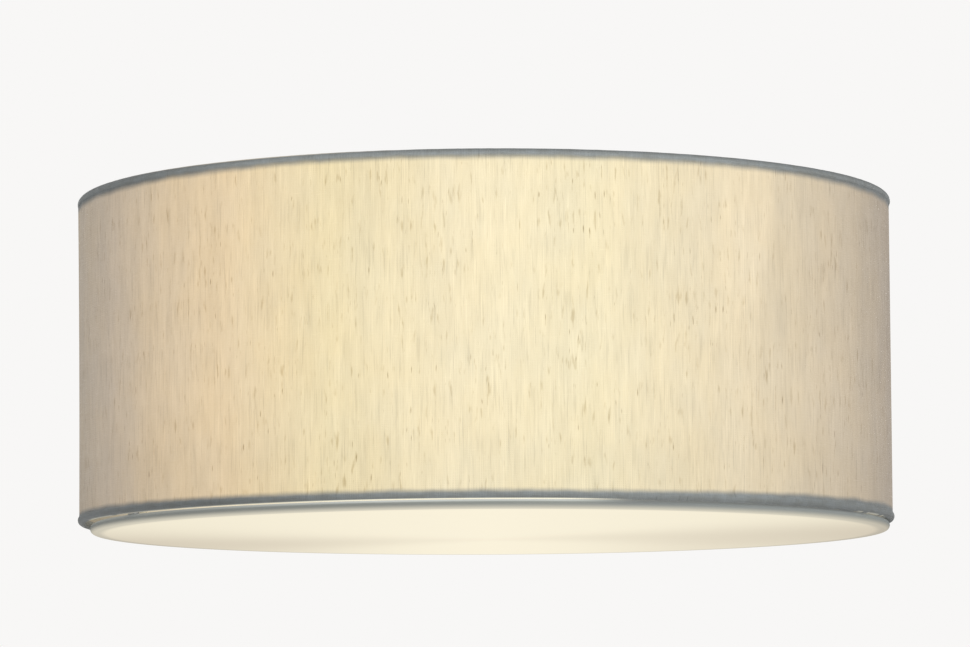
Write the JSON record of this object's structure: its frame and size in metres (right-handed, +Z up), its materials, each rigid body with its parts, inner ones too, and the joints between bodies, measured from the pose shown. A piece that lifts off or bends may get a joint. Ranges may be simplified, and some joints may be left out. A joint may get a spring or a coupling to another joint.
{
  "type": "flush mount ceiling light",
  "caption": "Flush drum ceiling light: linen hardback shade with rolled hems over a flat opal diffuser, lampholder cluster and bulbs inside, hung from a ceiling pan.",
  "frame": {"origin": "on the ceiling plane, on the axis of the centre rod", "axes": "+Z up into the ceiling, -Y towards the front, one bulb to the front and one to the rear"},
  "size_m": [0.4012, 0.4012, 0.1702],
  "materials": {
    "linen": "natural linen weave, warm where the light comes through",
    "liner": "translucent white laminate",
    "ring_steel": "white coated wire",
    "white_enamel": "satin white enamel",
    "zinc_steel": "bright zinc",
    "brass_nickel": "satin nickel on brass",
    "magnet_nickel": "nickel",
    "green_screw": "green passivated screw",
    "brass": "plain brass",
    "white_nylon": "moulded",
    "black_phenolic": "moulded",
    "fibre": "pressed fibre",
    "black_insulation": "soft satin",
    "white_insulation": "soft satin",
    "green_insulation": "soft satin",
    "solder": "dull",
    "black_glass": "glossy black glass",
    "bulb_cap_metal": "nickel-plated cap",
    "bulb_white": "smooth white",
    "lamp_board": "white-coated board",
    "opal_dome": "frosted opal",
    "opal_film": "smooth opal film"
  },
  "bodies": {
    "fixture": {"bracket_nut": "zinc_steel", "ceiling_pan": "white_enamel", "centre_rod": "zinc_steel", "cluster_body": "white_enamel", "cluster_cover": "white_enamel", "cluster_nut": "zinc_steel", "earth_lead": "green_insulation", "earth_screw": "green_screw", "holder_front_cap": "white_enamel", "holder_front_contact": "brass", "holder_front_interior": "black_phenolic", "holder_front_screw_shell": "brass", "holder_front_shell": "white_enamel", "holder_front_sleeve": "fibre", "holder_nipples": "zinc_steel", "holder_nuts": "zinc_steel", "holder_rear_cap": "white_enamel", "holder_rear_contact": "brass", "holder_rear_interior": "black_phenolic", "holder_rear_screw_shell": "brass", "holder_rear_shell": "white_enamel", "holder_rear_sleeve": "fibre", "holder_wire_screws": "brass", "live_leads": "black_insulation", "mounting_bracket": "zinc_steel", "neutral_leads": "white_insulation", "pan_nut": "zinc_steel", "pan_washer": "zinc_steel", "stem_sleeve": "white_enamel", "terminal_block": "white_nylon", "terminal_block_screws": "zinc_steel", "terminal_inserts": "brass", "terminal_port_screws": "zinc_steel"},
    "shade": {"shade_linen": "linen", "shade_liner": "liner", "shade_top_ring": "ring_steel", "shade_bottom_ring": "ring_steel", "spider_arms": "white_enamel", "spider_hub": "white_enamel", "hub_washer": "zinc_steel", "catch_plates": "zinc_steel", "catch_magnets": "magnet_nickel"},
    "lock_nut": {"lock_nut": "brass_nickel"},
    "diffuser": {"diffuser_film": "opal_film", "diffuser_ring": "ring_steel", "diffuser_keepers": "zinc_steel"},
    "bulb_front_tip": {"bulb_front_tip": "solder"},
    "bulb_front": {"bulb_front_insulator": "black_glass", "bulb_front_cap": "bulb_cap_metal", "bulb_front_body": "bulb_white", "bulb_front_board": "lamp_board", "bulb_front_dome": "opal_dome"},
    "bulb_rear_tip": {"bulb_rear_tip": "solder"},
    "bulb_rear": {"bulb_rear_insulator": "black_glass", "bulb_rear_cap": "bulb_cap_metal", "bulb_rear_body": "bulb_white", "bulb_rear_board": "lamp_board", "bulb_rear_dome": "opal_dome"}
  },
  "joints": [
    {"name": "lock_nut_turn", "type": "hinge", "parent": "shade", "child": "lock_nut", "pos_m": [0, 0, -0.107], "axis": [0, 0, -1], "range_deg": [0, 2160.5]},
    {"name": "shade_lower", "type": "slide", "parent": "fixture", "child": "shade", "axis": [0, 0, -1], "range_m": [0, 0.006]},
    {"name": "diffuser_drop", "type": "slide", "parent": "shade", "child": "diffuser", "axis": [0, 0, -1], "range_m": [0, 0.06]},
    {"name": "bulb_front_travel", "type": "slide", "parent": "fixture", "child": "bulb_front_tip", "axis": [0, -1, 0], "range_m": [0, 0.01452]},
    {"name": "bulb_front_turn", "type": "hinge", "parent": "bulb_front_tip", "child": "bulb_front", "pos_m": [0, -0.07, -0.079], "axis": [0, -1, 0], "range_deg": [0, 1440.5]},
    {"name": "bulb_rear_travel", "type": "slide", "parent": "fixture", "child": "bulb_rear_tip", "axis": [0, 1, 0], "range_m": [0, 0.01452]},
    {"name": "bulb_rear_turn", "type": "hinge", "parent": "bulb_rear_tip", "child": "bulb_rear", "pos_m": [0, 0.07, -0.079], "axis": [0, 1, 0], "range_deg": [0, 1440.5]}
  ],
  "couplings": [
    {"joint": "lock_nut_turn", "follows": "shade_lower", "rad_per_m": 6283.2},
    {"joint": "bulb_front_turn", "follows": "bulb_front_travel", "rad_per_m": 1731.4},
    {"joint": "bulb_rear_turn", "follows": "bulb_rear_travel", "rad_per_m": 1731.4}
  ]
}
